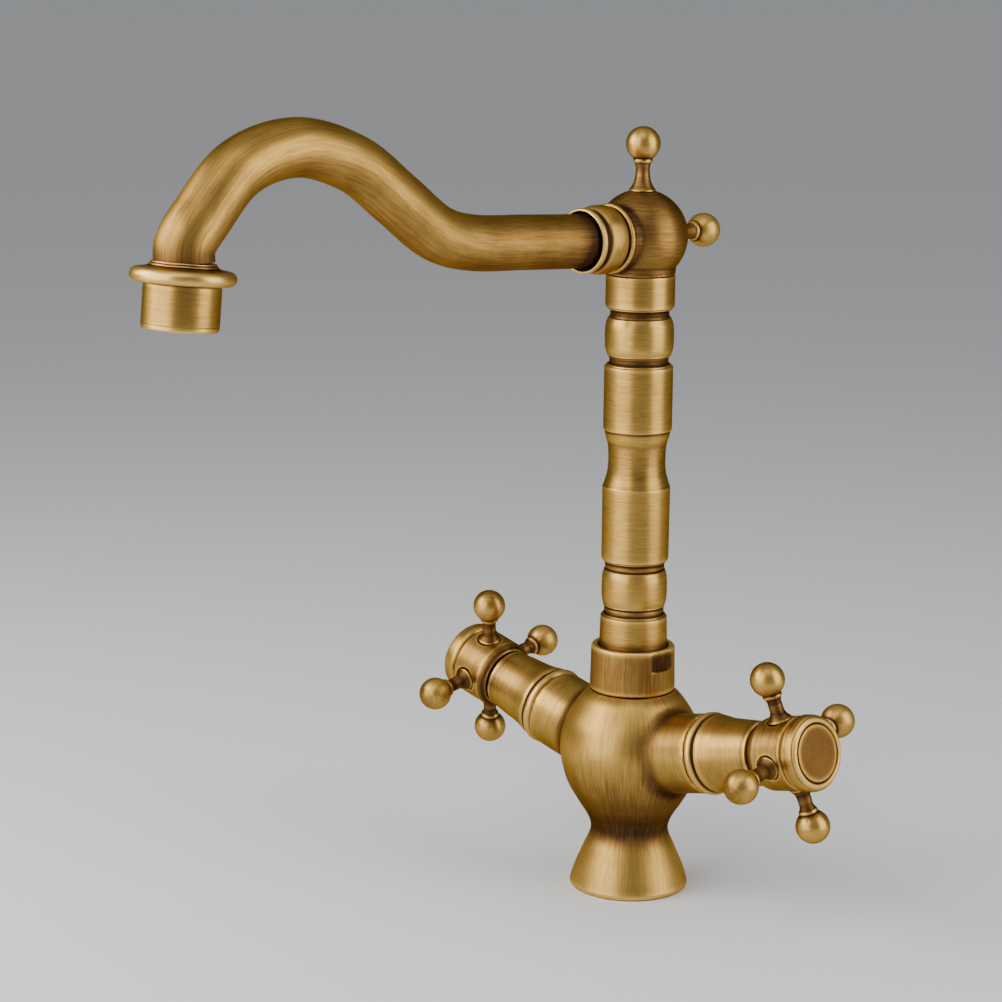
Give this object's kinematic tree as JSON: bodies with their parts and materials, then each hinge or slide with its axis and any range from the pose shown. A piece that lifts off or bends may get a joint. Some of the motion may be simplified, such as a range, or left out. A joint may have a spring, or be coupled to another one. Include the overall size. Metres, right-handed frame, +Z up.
{
  "type": "two-handle bathroom mixer faucet",
  "caption": "Deck-mounted mixer faucet with urn body, turned swivelling column, ball elbow, swan-neck spout and ball-ended cross handles.",
  "frame": {"origin": "centre of the foot's underside, where it meets the deck", "axes": "+Z up, the spout reaches along -Y, the cold valve is on +X and the hot valve on -X"},
  "size_m": [0.2206, 0.31, 0.3484],
  "materials": {
    "antique_brass": "brushed antique brass, brown patina left in the grooves",
    "bare_brass": "machined bare brass",
    "stainless_steel": "plain stainless steel",
    "black_rubber": "matt EPDM rubber",
    "pale_plastic": "matt acetal",
    "white_ceramic": "lapped alumina ceramic"
  },
  "bodies": {
    "mixer": {"mixer_body": "antique_brass", "foot_gasket": "black_rubber", "column_collar": "antique_brass", "glide_ring": "pale_plastic", "hot_bonnet_sleeve": "antique_brass", "hot_cartridge_body": "bare_brass", "hot_cartridge_o_ring": "black_rubber", "hot_seat_seal": "black_rubber", "hot_fixed_disc": "white_ceramic", "cold_bonnet_sleeve": "antique_brass", "cold_cartridge_body": "bare_brass", "cold_cartridge_o_ring": "black_rubber", "cold_seat_seal": "black_rubber", "cold_fixed_disc": "white_ceramic"},
    "spout": {"column": "antique_brass", "swivel_spigot": "bare_brass", "lower_spigot_o_ring": "black_rubber", "upper_spigot_o_ring": "black_rubber", "ball_elbow": "antique_brass", "top_finial": "antique_brass", "rear_finial": "antique_brass", "spout_nut": "antique_brass", "spout_seal": "black_rubber", "spout_tube": "antique_brass", "outlet_flange": "antique_brass", "aerator_housing": "antique_brass", "aerator_washer": "black_rubber", "aerator_insert": "pale_plastic"},
    "hot_handle": {"hot_handle_hub": "antique_brass", "hot_handle_screw": "stainless_steel", "hot_cap_bezel": "antique_brass", "hot_cap_index": "antique_brass", "hot_spindle": "bare_brass", "hot_spindle_o_ring": "black_rubber", "hot_turning_disc": "white_ceramic", "hot_spoke_1": "antique_brass", "hot_spoke_2": "antique_brass", "hot_spoke_3": "antique_brass", "hot_spoke_4": "antique_brass"},
    "cold_handle": {"cold_handle_hub": "antique_brass", "cold_handle_screw": "stainless_steel", "cold_cap_bezel": "antique_brass", "cold_cap_index": "antique_brass", "cold_spindle": "bare_brass", "cold_spindle_o_ring": "black_rubber", "cold_turning_disc": "white_ceramic", "cold_spoke_1": "antique_brass", "cold_spoke_2": "antique_brass", "cold_spoke_3": "antique_brass", "cold_spoke_4": "antique_brass"}
  },
  "joints": [
    {"name": "spout_swivel", "type": "hinge", "parent": "mixer", "child": "spout", "pos_m": [0, 0, 0.1], "axis": [0, 0, 1], "continuous": true},
    {"name": "hot_handle_turn", "type": "hinge", "parent": "mixer", "child": "hot_handle", "pos_m": [-0.09208, 0, 0.08146], "axis": [-0.9744, 0, 0.225], "range_deg": [0, 90]},
    {"name": "cold_handle_turn", "type": "hinge", "parent": "mixer", "child": "cold_handle", "pos_m": [0.09208, 0, 0.08146], "axis": [-0.9744, 0, -0.225], "range_deg": [0, 90]}
  ]
}
